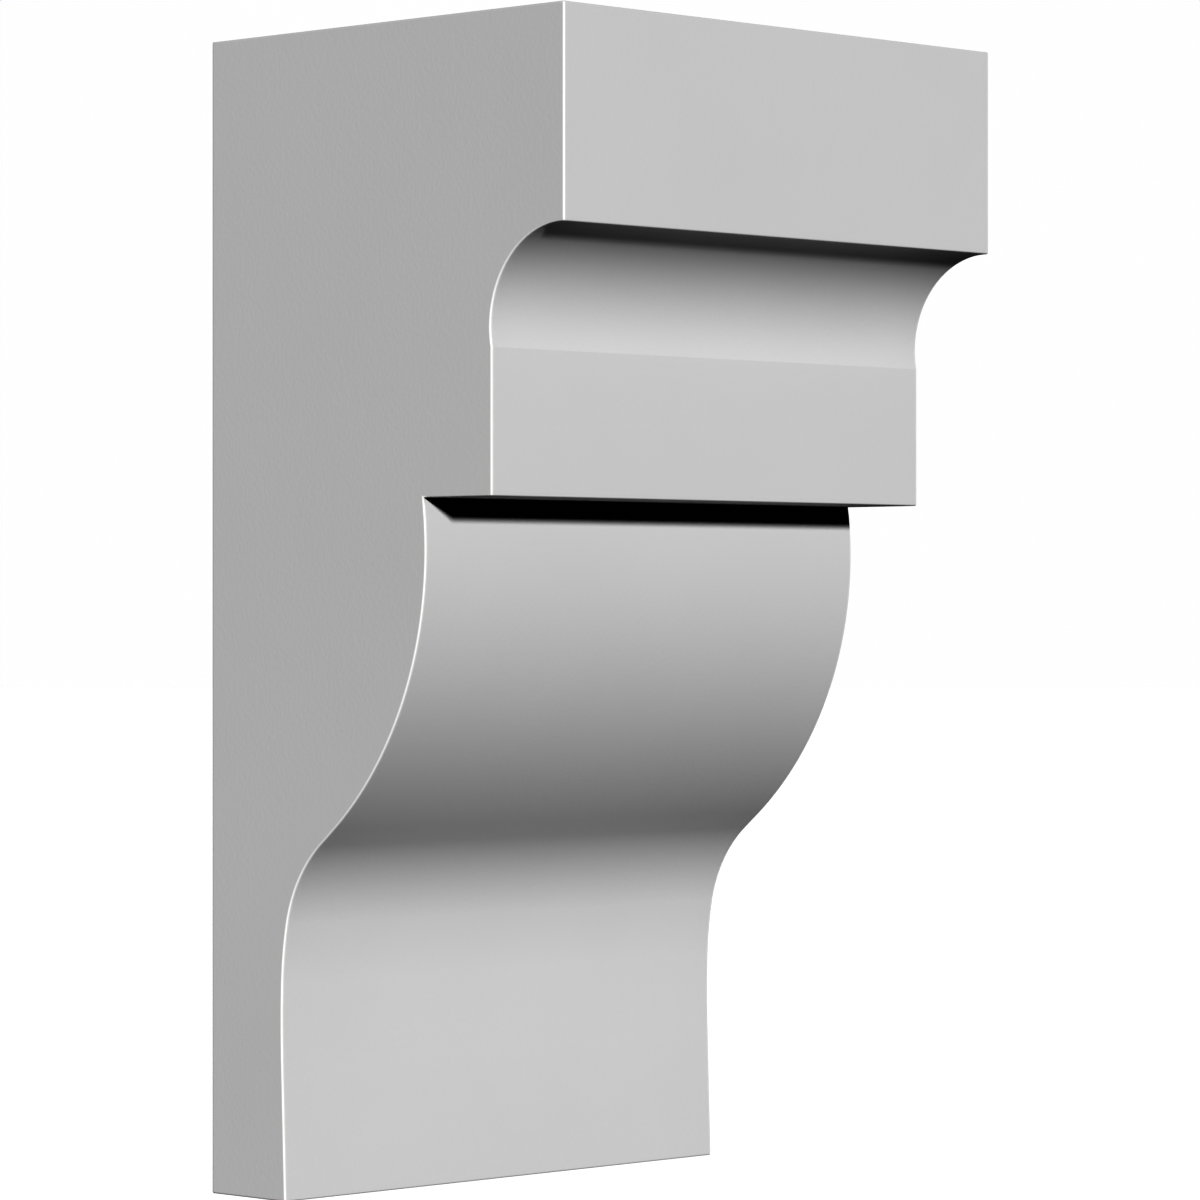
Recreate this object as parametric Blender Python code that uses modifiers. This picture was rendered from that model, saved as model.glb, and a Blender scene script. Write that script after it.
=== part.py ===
"""A plain S-curve corbel: one solid bracket with a square fascia, a cove, a band, a ledge and a thin foot.

The wall is the plane Y = 0 and the front looks towards -Y. X runs across the width and Z is up.
The origin is the centre of the back face, where the corbel meets the wall. Units are metres.
"""

import math

import bmesh
import bpy

# Overall size
WIDTH = 0.1905
DEPTH = 0.1524
HEIGHT = 0.3556

# Heights of the square parts, measured down from the top
FASCIA_HEIGHT = 0.0635
LEDGE_BELOW_TOP = 0.1422

# The cove under the fascia: a round hollow that ends past upright, in a crease on the band
COVE_RADIUS = 0.0293
COVE_DEEPEST = 0.1222
BAND_DEPTH = 0.1228

# The S-curve below the ledge: its first point, how far it leans outwards there, and its arcs.
# Each arc is a radius and a turn in degrees, and a positive turn swings the curve outwards.
# A short straight run joins the belly to the hollow.
CURVE_TOP_DEPTH = 0.0939
CURVE_TOP_LEAN = 8.2
BELLY = (0.1085, -59.2)
TURNING_RUN = 0.0076
HOLLOW = (0.0420, 39.8)
HOLLOW_EASE = (0.1125, 9.3)
FOOT_FLARE = (0.3500, 3.7)

# Every sharp edge is eased to this radius
EDGE_RADIUS = 0.0005
EDGE_SEGMENTS = 2
SHARPEST_SMOOTH_ANGLE = 30

# The longest step along an arc, in degrees
ARC_STEP = 3.0

TOP = HEIGHT / 2
BOTTOM = -HEIGHT / 2
WELD_DISTANCE = 0.00001
FLAT_ANGLE = math.radians(0.05)

# Factory primer: off-white, neutral and matt
PRIMER_COLOUR = (0.8, 0.8, 0.8, 1.0)
PRIMER_ROUGHNESS = 0.6


def clear_scene():
    """Remove every object that the file holds."""
    for thing in list(bpy.data.objects):
        bpy.data.objects.remove(thing, do_unlink=True)


def new_collection(name):
    """Make a collection in the scene."""
    collection = bpy.data.collections.new(name)
    bpy.context.scene.collection.children.link(collection)
    return collection


def primer_material():
    """The factory-primed finish that covers the whole corbel."""
    material = bpy.data.materials.new("primer")
    material.use_nodes = True
    shader = material.node_tree.nodes["Principled BSDF"]
    shader.inputs["Base Color"].default_value = PRIMER_COLOUR
    shader.inputs["Roughness"].default_value = PRIMER_ROUGHNESS
    shader.inputs["Metallic"].default_value = 0.0
    return material


def cove_points():
    """The cove, from the fascia's underside round to the crease on the band."""
    centre_depth = COVE_DEEPEST + COVE_RADIUS
    centre_height = TOP - FASCIA_HEIGHT - COVE_RADIUS
    past_upright = math.acos((centre_depth - BAND_DEPTH) / COVE_RADIUS)
    sweep = math.pi / 2 + past_upright
    steps = math.ceil(math.degrees(sweep) / ARC_STEP)
    points = []
    for step in range(steps + 1):
        angle = math.pi / 2 - sweep * step / steps
        depth = centre_depth - COVE_RADIUS * math.cos(angle)
        height = centre_height + COVE_RADIUS * math.sin(angle)
        points.append((depth, height))
    return points


def arc_onwards(points, lean, arc):
    """Carry the outline on down one arc that leaves the last point smoothly; return the new lean."""
    radius, turn = arc
    steps = math.ceil(abs(turn) / ARC_STEP) + 1
    step_turn = math.radians(turn) / steps
    chord = 2 * radius * math.sin(abs(step_turn) / 2)
    depth, height = points[-1]
    for _ in range(steps):
        lean += step_turn / 2
        depth += chord * math.sin(lean)
        height -= chord * math.cos(lean)
        lean += step_turn / 2
        points.append((depth, height))
    return lean


def straight_onwards(points, lean, length):
    """Carry the outline straight on down at its lean."""
    depth, height = points[-1]
    points.append((depth + length * math.sin(lean), height - length * math.cos(lean)))


def curve_points():
    """The S-curve, from the ledge down to the front edge of the foot."""
    points = [(CURVE_TOP_DEPTH, TOP - LEDGE_BELOW_TOP)]
    lean = arc_onwards(points, math.radians(CURVE_TOP_LEAN), BELLY)
    straight_onwards(points, lean, TURNING_RUN)
    for arc in (HOLLOW, HOLLOW_EASE, FOOT_FLARE):
        lean = arc_onwards(points, lean, arc)
    depth, height = points[-1]
    points.append((depth + (height - BOTTOM) * math.tan(lean), BOTTOM))
    return points


def side_outline():
    """The corbel seen from the side, as (distance from the wall, height) pairs."""
    outline = [(0.0, BOTTOM), (0.0, TOP), (DEPTH, TOP), (DEPTH, TOP - FASCIA_HEIGHT)]
    outline += cove_points()
    outline.append((BAND_DEPTH, TOP - LEDGE_BELOW_TOP))
    outline += curve_points()
    return outline


def outline_curve(name, outline):
    """A flat closed curve of the outline, as thick as the corbel is wide and standing on the wall."""
    curve = bpy.data.curves.new(name, "CURVE")
    curve.dimensions = "2D"
    curve.fill_mode = "BOTH"
    curve.extrude = WIDTH / 2
    spline = curve.splines.new("POLY")
    spline.points.add(len(outline) - 1)
    for point, (depth, height) in zip(spline.points, outline):
        point.co = (depth, height, 0.0, 1.0)
    spline.use_cyclic_u = True
    thing = bpy.data.objects.new(name, curve)
    # The curve's own X runs out from the wall, its own Y runs up
    thing.rotation_euler = (math.radians(90), 0.0, math.radians(-90))
    return thing


def solid_from_curve(curve_object, name, collection):
    """Turn the curve into one welded, closed mesh whose place is in its points."""
    collection.objects.link(curve_object)
    graph = bpy.context.evaluated_depsgraph_get()
    graph.update()
    evaluated = curve_object.evaluated_get(graph)
    mesh = bpy.data.meshes.new_from_object(evaluated)
    mesh.name = name
    mesh.transform(curve_object.matrix_world)
    bpy.data.objects.remove(curve_object, do_unlink=True)

    work = bmesh.new()
    work.from_mesh(mesh)
    bmesh.ops.remove_doubles(work, verts=work.verts, dist=WELD_DISTANCE)
    bmesh.ops.dissolve_limit(work, angle_limit=FLAT_ANGLE, verts=work.verts, edges=work.edges)
    bmesh.ops.recalc_face_normals(work, faces=work.faces)
    work.to_mesh(mesh)
    work.free()

    solid = bpy.data.objects.new(name, mesh)
    collection.objects.link(solid)
    return solid


def ease_edges(solid):
    """Round every sharp edge a little, and shade the curved faces smooth."""
    bevel = solid.modifiers.new("eased edges", "BEVEL")
    bevel.width = EDGE_RADIUS
    bevel.segments = EDGE_SEGMENTS
    bevel.limit_method = "ANGLE"
    bevel.angle_limit = math.radians(SHARPEST_SMOOTH_ANGLE)
    solid.data.shade_smooth()
    solid.data.set_sharp_from_angle(angle=math.radians(SHARPEST_SMOOTH_ANGLE))


def build():
    """Make the corbel."""
    clear_scene()
    collection = new_collection("plain_s_curve_corbel")
    outline = outline_curve("corbel outline", side_outline())
    corbel = solid_from_curve(outline, "corbel", collection)
    ease_edges(corbel)
    corbel.data.materials.clear()
    corbel.data.materials.append(primer_material())


build()
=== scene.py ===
"""A plain S-curve corbel of primed cellular PVC, dressed for a studio picture.

The corbel hangs as on a wall: the wall would be the plane Y = 0, the front looks towards -Y, X runs
across the width and Z is up. Every length is in metres unless its name says otherwise.
"""

import math

import bmesh
import bpy
from bpy.props import FloatProperty, FloatVectorProperty, IntProperty, PointerProperty
from bpy.types import Operator, Panel, PropertyGroup
from mathutils import Matrix, Vector


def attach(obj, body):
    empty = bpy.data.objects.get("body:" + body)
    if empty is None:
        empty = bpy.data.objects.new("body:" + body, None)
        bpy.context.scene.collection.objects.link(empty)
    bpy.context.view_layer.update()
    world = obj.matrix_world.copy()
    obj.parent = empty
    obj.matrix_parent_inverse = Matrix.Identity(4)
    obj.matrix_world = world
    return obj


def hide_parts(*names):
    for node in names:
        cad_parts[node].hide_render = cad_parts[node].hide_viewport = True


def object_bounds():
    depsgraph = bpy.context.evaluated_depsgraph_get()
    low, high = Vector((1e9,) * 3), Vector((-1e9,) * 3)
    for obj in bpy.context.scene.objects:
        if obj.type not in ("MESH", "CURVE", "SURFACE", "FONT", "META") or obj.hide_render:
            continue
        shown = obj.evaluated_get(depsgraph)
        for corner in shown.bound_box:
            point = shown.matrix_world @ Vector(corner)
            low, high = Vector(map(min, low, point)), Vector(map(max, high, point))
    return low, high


bl_info = {
    "name": "Plain S-Curve Corbel",
    "version": (1, 0, 0),
    "blender": (4, 5, 0),
    "location": "View3D > Sidebar > Corbel",
    "description": "Builds a primed PVC corbel and a plain studio round it",
    "category": "Add Mesh",
}

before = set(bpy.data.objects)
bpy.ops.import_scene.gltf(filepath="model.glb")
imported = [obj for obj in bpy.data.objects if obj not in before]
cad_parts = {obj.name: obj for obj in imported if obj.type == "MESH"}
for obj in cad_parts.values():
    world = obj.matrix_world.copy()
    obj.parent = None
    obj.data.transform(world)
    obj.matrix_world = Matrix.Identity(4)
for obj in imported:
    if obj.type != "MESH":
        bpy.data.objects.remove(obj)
CAD_LOW, CAD_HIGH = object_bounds()
NODE = "corbel"
BODY = "root"
PIECE = "primed_corbel"

MM = 0.001
ACROSS = Vector((1.0, 0.0, 0.0))

# The S-curve below the ledge, as (radius, turn in degrees): a negative turn swings it to the wall.
# A short straight run joins the belly to the hollow.
BELLY = (0.1085, -59.2)
TURNING_RUN = 0.0076
HOLLOW = (0.0420, 39.8)
HOLLOW_EASE = (0.1125, 9.3)
FOOT_FLARE = (0.3500, 3.7)

# An outward edge sharper than the first angle is eased. Any other edge sharper than the second,
# such as the crease under the cove, stays a crisp line.
EASED_ANGLE = math.radians(30)
CREASE_ANGLE = math.radians(8)

# A face is a side face where its normal's X is over the first of these. A facet of an eased edge is
# on a left or right arris where it is over the second.
SIDE_FACING = 0.99
ARRIS_FACING = 0.1

# The width of the rim set inside each side face
SIDE_RIM = 0.15 * MM

# The attribute that is 1 along the moulded arrises, where the coat is painted whiter as worn board and as
# a painted highlight, and the share of the grain that is added to it
WEAR_AND_HIGHLIGHT = "wear_and_painted_highlight"
GRAIN_SHARE = 0.25

# The sum from which the arris begins to turn whiter, as board showing through the coat and as a painted
# highlight, and from which it is fully whiter
WHITER_ARRIS_BEGINS = 0.8
WHITER_ARRIS_FULL = 1.1

# The size of one feature of each pattern in the finish
PATCH_SIZE = 60 * MM
GRAIN_SIZE = 4 * MM
SHEEN_SIZE = 25 * MM
SPECK_SPACING = 14 * MM
SPECK_RADIUS = 0.35 * MM

# How many times as high as a spray bump a speck of dust stands
SPECK_HEIGHT = 1.5

# How far the roughness changes from patch to patch, and how much rougher a rubbed arris is
SHEEN_SPREAD = 0.03
DULLING = 0.08

# Nearly all of a noise's values lie between these two
NOISE_LOW = 0.3
NOISE_HIGH = 0.7

# An acrylic binder's IOR. The chalky filler takes away most of its reflection.
BINDER_IOR = 1.5
BINDER_REFLECTION = 0.2

# The Mix node's sockets for colours
MIX_SHARE = 0
MIX_FIRST = 6
MIX_SECOND = 7
MIX_RESULT = 2

FLOOR_RADIUS = 18.0
FLOOR_SIDES = 96

# How far the key lamp stands to the left and above, for each metre in front
KEY_ACROSS = 0.40
KEY_UP = 0.236
KEY_AZIMUTH = -math.degrees(math.atan(KEY_ACROSS))
KEY_ELEVATION = math.degrees(math.atan(KEY_UP / math.hypot(1.0, KEY_ACROSS)))

# Each lamp's azimuth, elevation and breadth in degrees: azimuth 0 is straight in front, -90 is left
KEY_LAMP = (KEY_AZIMUTH, KEY_ELEVATION, 4.5)
SIDE_LAMP = (-97, 8, 10)
FAR_LAMP = (125, 35, 15)
FLOOR_LAMP = (0, 90, 110)

# How bright the room looks behind the floor, and how little light it gives
ROOM_COLOUR = (1.0, 1.0, 1.0, 1.0)
ROOM_SEEN = 0.997
ROOM_LIGHT = 0.002

# The camera is level, near the height of the corbel's middle, and looks at its left front arris
CAMERA_PLACE = (-1.13888, -1.17819, 0.00063)
CAMERA_TURN = math.radians(-45.225)
CAMERA_SHIFT = (0.05, 0.01305)
CAMERA_CLIP = (0.1, 60.0)
SENSOR_WIDTH_MM = 36.0


def linear(hex_colour):
    """An sRGB hex colour as linear red, green and blue."""
    values = [int(hex_colour[i : i + 2], 16) / 255 for i in (0, 2, 4)]
    return [v / 12.92 if v <= 0.04045 else ((v + 0.055) / 1.055) ** 2.4 for v in values]


class CorbelSizes(PropertyGroup):
    """The corbel's own sizes."""

    width: FloatProperty(
        name="Width",
        description="Across the front",
        default=CAD_HIGH.x - CAD_LOW.x,
        unit="LENGTH",
    )
    depth: FloatProperty(
        name="Depth",
        description="From the wall to the fascia",
        default=-CAD_LOW.y,
        unit="LENGTH",
    )
    height: FloatProperty(
        name="Height",
        description="From the foot to the top",
        default=CAD_HIGH.z - CAD_LOW.z,
        unit="LENGTH",
    )
    fascia_height: FloatProperty(
        name="Fascia height",
        description="The square block at the top",
        default=0.0635,
        unit="LENGTH",
    )
    cove_radius: FloatProperty(
        name="Cove radius",
        description="The hollow under the fascia",
        default=0.0293,
        unit="LENGTH",
    )
    cove_deepest: FloatProperty(
        name="Cove's deepest point",
        description="Its distance from the wall",
        default=0.1222,
        unit="LENGTH",
    )
    band_depth: FloatProperty(
        name="Band depth",
        description="From the wall to the flat band",
        default=0.1228,
        unit="LENGTH",
    )
    ledge_below_top: FloatProperty(
        name="Ledge below the top",
        description="Down to the band's lower edge",
        default=0.1422,
        unit="LENGTH",
    )
    curve_top_depth: FloatProperty(
        name="Curve's depth at the ledge",
        description="From the wall",
        default=0.0939,
        unit="LENGTH",
    )
    curve_top_lean: FloatProperty(
        name="Curve's lean at the ledge",
        description="How far it leans outwards there",
        default=math.radians(8.2),
        subtype="ANGLE",
    )
    edge_radius: FloatProperty(
        name="Edge radius",
        description="How far each arris is eased",
        default=0.0005,
        unit="LENGTH",
    )
    edge_segments: IntProperty(
        name="Edge segments",
        description="Facets round an eased arris",
        default=4,
        min=2,
        max=8,
    )
    # The whiter arris colour, worn board together with a painted highlight, fades out over this margin
    edge_margin: FloatProperty(
        name="Edge margin",
        description="How far wear reaches in from an arris",
        default=0.002,
        unit="LENGTH",
    )
    arc_step: FloatProperty(
        name="Arc step",
        description="The longest step along a curve",
        default=math.radians(1.5),
        subtype="ANGLE",
    )


class PrimerFinish(PropertyGroup):
    """The sprayed primer and the board under it."""

    primer: FloatVectorProperty(
        name="Primer",
        description="The sprayed coat",
        default=linear("E7E7E7"),
        subtype="COLOR",
        size=3,
    )
    primer_thin: FloatVectorProperty(
        name="Thin primer",
        description="Where the coat is thinner",
        default=linear("E9E9E9"),
        subtype="COLOR",
        size=3,
    )
    # Partly a painted highlight: this whiter colour along the moulded arrises stands in for light on the
    # eased edge as well as for worn board
    bare_board_and_highlight: FloatVectorProperty(
        name="Bare board",
        description="White PVC at a rubbed arris",
        default=linear("F2F2F1"),
        subtype="COLOR",
        size=3,
    )
    roughness: FloatProperty(
        name="Roughness",
        description="Matt primer",
        default=0.6,
        min=0.0,
        max=1.0,
        subtype="FACTOR",
    )
    peel_size: FloatProperty(
        name="Spray texture size",
        description="Width of a spray bump",
        default=1.3 * MM,
        unit="LENGTH",
    )
    peel_depth: FloatProperty(
        name="Spray texture depth",
        description="Height of a spray bump",
        default=0.025 * MM,
        unit="LENGTH",
    )


class StudioSettings(PropertyGroup):
    """Floor, lamps and camera."""

    floor: FloatVectorProperty(
        name="Floor",
        description="Plain pale floor",
        default=linear("F4F4F4"),
        subtype="COLOR",
        size=3,
    )
    floor_gap: FloatProperty(
        name="Floor gap",
        description="From the foot down to the floor",
        default=0.1,
        unit="LENGTH",
    )
    key: FloatProperty(name="Key lamp", description="Low in front, to the left", default=3.33, min=0.0)
    side: FloatProperty(name="Side lamp", description="On the left side", default=1.407, min=0.0)
    far: FloatProperty(name="Far lamp", description="High behind, to the right", default=3.9, min=0.0)
    overhead: FloatProperty(name="Floor lamp", description="Lights the floor alone", default=3.6, min=0.0)
    focal_length_mm: FloatProperty(
        name="Focal length",
        description="Of the camera",
        default=152.5,
        min=1.0,
        unit="CAMERA",
    )


def path_start(work, x, depth, height):
    """The first point of the side outline."""
    return bmesh.ops.create_vert(work, co=(x, -depth, height))["vert"][0]


def run_to(work, vert, depth, height):
    """Draw the outline straight on to a point; return that point."""
    made = bmesh.ops.extrude_vert_indiv(work, verts=[vert])["verts"][0]
    made.co = (vert.co.x, -depth, height)
    return made


def flat_to(work, vert, depth, height, margin):
    """Draw one flat face's line, with a point a margin in from each end; return its far end."""
    start = Vector((-vert.co.y, vert.co.z))
    end = Vector((depth, height))
    step = (end - start).normalized() * margin
    for stop in (start + step, end - step, end):
        vert = run_to(work, vert, stop.x, stop.y)
    return vert


def swing(work, vert, centre, angle, step):
    """Draw the outline round an arc about a centre; return the arc's far end."""
    made = bmesh.ops.spin(
        work,
        geom=[vert],
        cent=centre,
        axis=ACROSS,
        angle=angle,
        steps=math.ceil(abs(angle) / step),
        space=Matrix.Identity(4),
    )
    return next(part for part in made["geom_last"] if isinstance(part, bmesh.types.BMVert))


def curve_on(work, vert, lean, arc, step):
    """Draw the S-curve on smoothly down one of its arcs; return its far end and the new lean."""
    radius, turn = arc[0], math.radians(arc[1])
    side = 1.0 if turn < 0 else -1.0
    towards_wall = Vector((0.0, math.cos(lean), -math.sin(lean)))
    centre = vert.co + towards_wall * radius * side
    return swing(work, vert, centre, -turn, step), lean + turn


def draw_outline(work, sizes):
    """Draw the whole side outline as one closed loop of edges on the left face."""
    top, bottom = sizes.height / 2, -sizes.height / 2
    margin, step = sizes.edge_margin, sizes.arc_step
    fascia_low = top - sizes.fascia_height
    ledge = top - sizes.ledge_below_top

    first = path_start(work, -sizes.width / 2, 0.0, bottom)
    vert = flat_to(work, first, 0.0, top, margin)
    vert = flat_to(work, vert, sizes.depth, top, margin)
    vert = flat_to(work, vert, sizes.depth, fascia_low, margin)

    cove_centre = sizes.cove_deepest + sizes.cove_radius
    vert = run_to(work, vert, cove_centre, fascia_low)
    past_upright = math.acos((cove_centre - sizes.band_depth) / sizes.cove_radius)
    centre = Vector((vert.co.x, -cove_centre, fascia_low - sizes.cove_radius))
    vert = swing(work, vert, centre, -math.pi / 2 - past_upright, step)
    vert = flat_to(work, vert, sizes.band_depth, ledge, margin)
    vert = flat_to(work, vert, sizes.curve_top_depth, ledge, margin)

    vert, lean = curve_on(work, vert, sizes.curve_top_lean, BELLY, step)
    run = Vector((math.sin(lean), -math.cos(lean))) * TURNING_RUN
    vert = run_to(work, vert, run.x - vert.co.y, run.y + vert.co.z)
    for arc in (HOLLOW, HOLLOW_EASE, FOOT_FLARE):
        vert, lean = curve_on(work, vert, lean, arc, step)
    foot_depth = -vert.co.y + (vert.co.z - bottom) * math.tan(lean)
    vert = flat_to(work, vert, foot_depth, bottom, margin)
    for stop in (foot_depth - margin, margin):
        vert = run_to(work, vert, stop, bottom)
    bmesh.ops.contextual_create(work, geom=[vert, first])


def widen(work, sizes):
    """Pull the outline across the width, with a loop a margin in from each side, and close both ends."""
    edges = list(work.edges)
    first_loop = list(edges)
    for span in (sizes.edge_margin, sizes.width - 2 * sizes.edge_margin, sizes.edge_margin):
        made = bmesh.ops.extrude_edge_only(work, edges=edges)["geom"]
        moved = [part for part in made if isinstance(part, bmesh.types.BMVert)]
        drawn = [part for part in made if isinstance(part, bmesh.types.BMEdge)]
        edges = [edge for edge in drawn if set(edge.verts) <= set(moved)]
        bmesh.ops.translate(work, verts=moved, vec=ACROSS * span)
    for loop in (first_loop, edges):
        bmesh.ops.contextual_create(work, geom=loop)
    bmesh.ops.recalc_face_normals(work, faces=work.faces)


def ease_edges(work, sizes):
    """Ease every sharp outward edge, keep the other sharp edges crisp, and return the easing's faces."""
    eased = []
    for edge in work.edges:
        angle = edge.calc_face_angle(0.0)
        if angle > EASED_ANGLE and edge.is_convex:
            eased.append(edge)
        elif angle > CREASE_ANGLE:
            edge.smooth = False
    made = bmesh.ops.bevel(
        work,
        geom=eased,
        offset=sizes.edge_radius,
        offset_type="OFFSET",
        segments=sizes.edge_segments,
        profile=0.5,
        affect="EDGES",
        clamp_overlap=True,
        material=-1,
    )
    return made["faces"]


def rim_sides(work):
    """Set a narrow rim inside each side face, which keeps the easing's shading and the arrises' whiter
    colour, worn board with a painted highlight, off the flat.
    """
    sides = [face for face in work.faces if len(face.verts) > 4 and abs(face.normal.x) > SIDE_FACING]
    for side in sides:
        bmesh.ops.inset_region(work, faces=[side], thickness=SIDE_RIM, depth=0.0, use_boundary=True)


def mark_moulded_arrises(work, eased, sizes):
    """Store where the two moulded arrises run, so that the coat can be thinner and whiter there, as worn
    board and as a painted highlight along the eased edge.
    """
    worn_and_highlit = work.verts.layers.float.new(WEAR_AND_HIGHLIGHT)
    end = sizes.height / 2 - sizes.edge_radius
    for face in eased:
        middle = face.calc_center_median()
        if abs(face.normal.x) > ARRIS_FACING and abs(middle.z) < end and middle.y < -sizes.edge_radius:
            for vert in face.verts:
                vert[worn_and_highlit] = 1.0


def corbel_mesh(sizes):
    """The corbel's mesh, with its place in its points."""
    work = bmesh.new()
    draw_outline(work, sizes)
    widen(work, sizes)
    eased = ease_edges(work, sizes)
    rim_sides(work)
    mark_moulded_arrises(work, eased, sizes)
    bmesh.ops.recalc_face_normals(work, faces=work.faces)
    for face in work.faces:
        face.smooth = True
    mesh = bpy.data.meshes.new(PIECE)
    work.to_mesh(mesh)
    work.free()
    return mesh


def empty_tree(owner):
    """The node tree of a material or a world, with nothing in it."""
    owner.use_nodes = True
    owner.node_tree.nodes.clear()
    return owner.node_tree


def add_node(tree, kind, inputs=None, **settings):
    """Add a node with its settings. An input is a value or another node's output socket."""
    node = tree.nodes.new(kind)
    for name, value in settings.items():
        setattr(node, name, value)
    for key, value in (inputs or {}).items():
        if isinstance(value, bpy.types.NodeSocket):
            tree.links.new(value, node.inputs[key])
        else:
            node.inputs[key].default_value = value
    return node


def wear_and_highlight_share(tree, place):
    """How far the arrises are painted whiter, from 0 to 1, as worn board and as a painted highlight:
    along the moulded arrises, broken up by grain.
    """
    arris = add_node(tree, "ShaderNodeAttribute", attribute_name=WEAR_AND_HIGHLIGHT)
    grain = add_node(
        tree,
        "ShaderNodeTexNoise",
        {"Vector": place, "Scale": 1 / GRAIN_SIZE, "Detail": 2.0},
    )
    reach = add_node(
        tree,
        "ShaderNodeMath",
        {0: grain.outputs["Fac"], 1: GRAIN_SHARE, 2: arris.outputs["Fac"]},
        operation="MULTIPLY_ADD",
    )
    worn_and_highlit = add_node(
        tree,
        "ShaderNodeMapRange",
        {"Value": reach.outputs[0], "From Min": WHITER_ARRIS_BEGINS, "From Max": WHITER_ARRIS_FULL},
        interpolation_type="SMOOTHSTEP",
    )
    return worn_and_highlit.outputs["Result"]


def coat_colour(tree, place, worn_and_highlit, finish):
    """The coat, a little thicker and thinner in patches, and whiter along the moulded arrises, as worn
    board and as a painted highlight.
    """
    patches = add_node(
        tree,
        "ShaderNodeTexNoise",
        {"Vector": place, "Scale": 1 / PATCH_SIZE, "Detail": 3.0},
    )
    coat = add_node(
        tree,
        "ShaderNodeMix",
        {
            MIX_SHARE: patches.outputs["Fac"],
            MIX_FIRST: (*finish.primer, 1.0),
            MIX_SECOND: (*finish.primer_thin, 1.0),
        },
        data_type="RGBA",
    )
    # Painted highlight: the arrises turn whiter here, partly for board worn through the coat and partly
    # for light on the eased edge
    colour = add_node(
        tree,
        "ShaderNodeMix",
        {
            MIX_SHARE: worn_and_highlit,
            MIX_FIRST: coat.outputs[MIX_RESULT],
            MIX_SECOND: (*finish.bare_board_and_highlight, 1.0),
        },
        data_type="RGBA",
    )
    return colour.outputs[MIX_RESULT]


def coat_roughness(tree, place, worn_and_highlit, finish):
    """A sheen that changes in patches of its own, and is duller where an arris is rubbed."""
    sheen = add_node(
        tree,
        "ShaderNodeTexNoise",
        {"Vector": place, "Scale": 1 / SHEEN_SIZE, "Detail": 4.0},
    )
    matt = add_node(
        tree,
        "ShaderNodeMapRange",
        {
            "Value": sheen.outputs["Fac"],
            "From Min": NOISE_LOW,
            "From Max": NOISE_HIGH,
            "To Min": finish.roughness - SHEEN_SPREAD,
            "To Max": finish.roughness + SHEEN_SPREAD,
        },
        interpolation_type="SMOOTHSTEP",
    )
    dulled = add_node(
        tree,
        "ShaderNodeMath",
        {0: worn_and_highlit, 1: DULLING, 2: matt.outputs["Result"]},
        operation="MULTIPLY_ADD",
    )
    return dulled.outputs[0]


def spray_relief(tree, place, finish):
    """Spray texture, and a few raised specks of dust caught in the coat."""
    peel = add_node(
        tree,
        "ShaderNodeTexNoise",
        {"Vector": place, "Scale": 1 / finish.peel_size, "Detail": 1.5},
    )
    specks = add_node(tree, "ShaderNodeTexVoronoi", {"Vector": place, "Scale": 1 / SPECK_SPACING})
    nibs = add_node(
        tree,
        "ShaderNodeMapRange",
        {
            "Value": specks.outputs["Distance"],
            "From Max": SPECK_RADIUS / SPECK_SPACING,
            "To Min": SPECK_HEIGHT,
            "To Max": 0.0,
        },
        interpolation_type="SMOOTHSTEP",
    )
    relief = add_node(
        tree,
        "ShaderNodeMath",
        {0: peel.outputs["Fac"], 1: nibs.outputs["Result"]},
        operation="ADD",
    )
    bump = add_node(
        tree,
        "ShaderNodeBump",
        {"Height": relief.outputs[0], "Distance": finish.peel_depth, "Strength": 1.0},
    )
    return bump.outputs["Normal"]


def primed_pvc(finish):
    """Cellular PVC board, milled to the profile, sanded and sprayed with a matt water-based primer.

    It gives the eye an even, neutral off-white that hardly shines, a spray texture that only shows
    close up, and two moulded arrises painted whiter: partly board where sanding left the coat thin,
    and partly a painted highlight that makes the eased edge show as a bright line.
    """
    material = bpy.data.materials.new("primed_cellular_pvc_sprayed")
    tree = empty_tree(material)
    place = add_node(tree, "ShaderNodeTexCoord").outputs["Object"]
    worn_and_highlit = wear_and_highlight_share(tree, place)
    shader = add_node(
        tree,
        "ShaderNodeBsdfPrincipled",
        {
            "Base Color": coat_colour(tree, place, worn_and_highlit, finish),
            "Roughness": coat_roughness(tree, place, worn_and_highlit, finish),
            "Normal": spray_relief(tree, place, finish),
            "IOR": BINDER_IOR,
            "Specular IOR Level": BINDER_REFLECTION,
        },
    )
    add_node(tree, "ShaderNodeOutputMaterial", {"Surface": shader.outputs["BSDF"]})
    return material


def studio_paper(colour):
    """Seamless matt paper, which gives the eye a pale, even ground that doesn't shine."""
    material = bpy.data.materials.new("matt_studio_paper")
    tree = empty_tree(material)
    shader = add_node(tree, "ShaderNodeBsdfDiffuse", {"Color": (*colour, 1.0)})
    add_node(tree, "ShaderNodeOutputMaterial", {"Surface": shader.outputs["BSDF"]})
    return material


def link_object(name, data):
    """Put new data in the scene as an object at the origin."""
    thing = bpy.data.objects.new(name, data)
    bpy.context.scene.collection.objects.link(thing)
    return thing


def gathered(name, thing):
    """A collection that holds one object, for a lamp to shine on or be blocked by."""
    collection = bpy.data.collections.new(name)
    collection.objects.link(thing)
    return collection


def sun(name, place, strength):
    """A distant lamp, placed by its azimuth, elevation and breadth in degrees."""
    azimuth, elevation, breadth = place
    light = bpy.data.lights.new(name, "SUN")
    light.energy = strength
    light.angle = math.radians(breadth)
    thing = link_object(name, light)
    thing.rotation_euler = (math.radians(90 - elevation), 0.0, math.radians(azimuth))
    return thing


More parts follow.
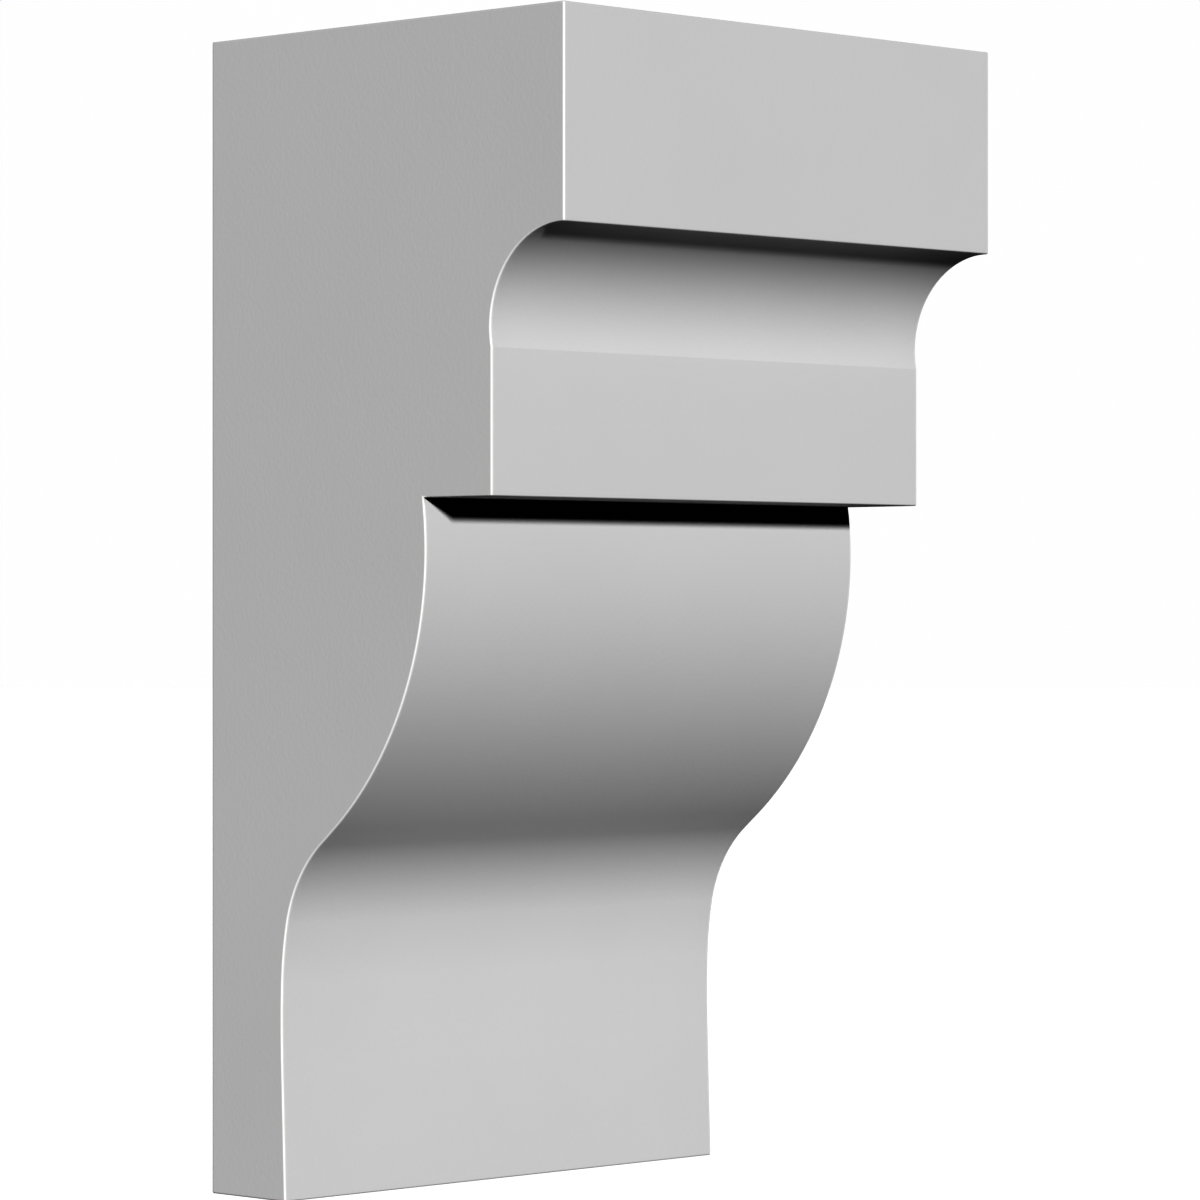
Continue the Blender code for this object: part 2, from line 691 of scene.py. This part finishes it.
def lay_floor(studio):
    """Lay a wide round floor that throws no light on the corbel."""
    mesh = bpy.data.meshes.new("floor")
    work = bmesh.new()
    bmesh.ops.create_circle(work, cap_ends=True, segments=FLOOR_SIDES, radius=FLOOR_RADIUS)
    bmesh.ops.translate(work, verts=work.verts, vec=(0.0, 0.0, CAD_LOW.z - studio.floor_gap))
    work.to_mesh(mesh)
    work.free()
    floor = link_object("floor", mesh)
    mesh.materials.append(studio_paper(studio.floor))
    floor.visible_diffuse = False
    floor.visible_glossy = False
    return floor


def hang_lamps(studio, corbel, floor):
    """Hang three lamps that light the corbel alone, and one that lights the floor alone."""
    corbel_alone = gathered("lit_by_the_lamps", corbel)
    key = sun("key_lamp", KEY_LAMP, studio.key)
    side = sun("side_lamp", SIDE_LAMP, studio.side)
    far = sun("far_lamp", FAR_LAMP, studio.far)
    far.visible_glossy = False
    # The corbel throws each lamp's light back on itself once: that fills the cove and the hollow,
    # and leaves the shadow under the ledge black
    for lamp in (key, side, far):
        lamp.data.cycles.max_bounces = 1
        lamp.light_linking.receiver_collection = corbel_alone
        lamp.light_linking.blocker_collection = corbel_alone
    overhead = sun("floor_lamp", FLOOR_LAMP, studio.overhead)
    overhead.light_linking.receiver_collection = gathered("lit_by_the_floor_lamp", floor)
    overhead.light_linking.blocker_collection = corbel_alone


def light_room(scene):
    """Set up a white room that is seen behind the floor and lights almost nothing."""
    world = bpy.data.worlds.new("pale_room")
    scene.world = world
    tree = empty_tree(world)
    seen = add_node(tree, "ShaderNodeBackground", {"Color": ROOM_COLOUR, "Strength": ROOM_SEEN})
    lit = add_node(tree, "ShaderNodeBackground", {"Color": ROOM_COLOUR, "Strength": ROOM_LIGHT})
    ray = add_node(tree, "ShaderNodeLightPath").outputs["Is Camera Ray"]
    room = add_node(tree, "ShaderNodeMixShader", {0: ray, 1: lit.outputs[0], 2: seen.outputs[0]})
    add_node(tree, "ShaderNodeOutputWorld", {"Surface": room.outputs[0]})


def set_camera(scene, focal_length_mm):
    """Set up the level camera, and show brightness as it falls, with no film curve over it."""
    camera = bpy.data.cameras.new("camera")
    camera.sensor_width = SENSOR_WIDTH_MM
    camera.lens = focal_length_mm
    camera.shift_x, camera.shift_y = CAMERA_SHIFT
    camera.clip_start, camera.clip_end = CAMERA_CLIP
    camera.dof.use_dof = False
    viewer = link_object("camera", camera)
    viewer.location = CAMERA_PLACE
    viewer.rotation_euler = (math.radians(90), 0.0, CAMERA_TURN)
    scene.camera = viewer
    scene.view_settings.view_transform = "Raw"


class CORBEL_OT_add_corbel(Operator):
    """Build the corbel and give it its primed finish"""

    bl_idname = "corbel.add_corbel"
    bl_label = "Add Corbel"

    def execute(self, context):
        mesh = corbel_mesh(context.scene.corbel_sizes)
        corbel = link_object(PIECE, mesh)
        weighted = corbel.modifiers.new("flat faces stay flat", "WEIGHTED_NORMAL")
        weighted.keep_sharp = True
        mesh.materials.append(primed_pvc(context.scene.corbel_finish))
        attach(corbel, BODY)
        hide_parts(NODE)
        return {"FINISHED"}


class CORBEL_OT_add_stage(Operator):
    """Lay the floor, hang the lamps and set up the camera"""

    bl_idname = "corbel.add_stage"
    bl_label = "Add Studio"

    def execute(self, context):
        studio = context.scene.corbel_studio
        floor = lay_floor(studio)
        hang_lamps(studio, bpy.data.objects[PIECE], floor)
        light_room(context.scene)
        set_camera(context.scene, studio.focal_length_mm)
        return {"FINISHED"}


class CORBEL_PT_panel(Panel):
    """The corbel's panel in the sidebar"""

    bl_label = "Corbel"
    bl_space_type = "VIEW_3D"
    bl_region_type = "UI"
    bl_category = "Corbel"

    def draw(self, context):
        layout = self.layout
        layout.operator("corbel.add_corbel")
        layout.operator("corbel.add_stage")


CLASSES = (
    CorbelSizes,
    PrimerFinish,
    StudioSettings,
    CORBEL_OT_add_corbel,
    CORBEL_OT_add_stage,
    CORBEL_PT_panel,
)


def register():
    """Add the classes and the scene's settings."""
    for cls in CLASSES:
        bpy.utils.register_class(cls)
    bpy.types.Scene.corbel_sizes = PointerProperty(type=CorbelSizes)
    bpy.types.Scene.corbel_finish = PointerProperty(type=PrimerFinish)
    bpy.types.Scene.corbel_studio = PointerProperty(type=StudioSettings)


def unregister():
    """Take the settings and the classes away again."""
    del bpy.types.Scene.corbel_studio
    del bpy.types.Scene.corbel_finish
    del bpy.types.Scene.corbel_sizes
    for cls in reversed(CLASSES):
        bpy.utils.unregister_class(cls)


def main():
    """Build everything in order."""
    register()
    bpy.ops.corbel.add_corbel()
    bpy.ops.corbel.add_stage()


if __name__ == "__main__":
    main()
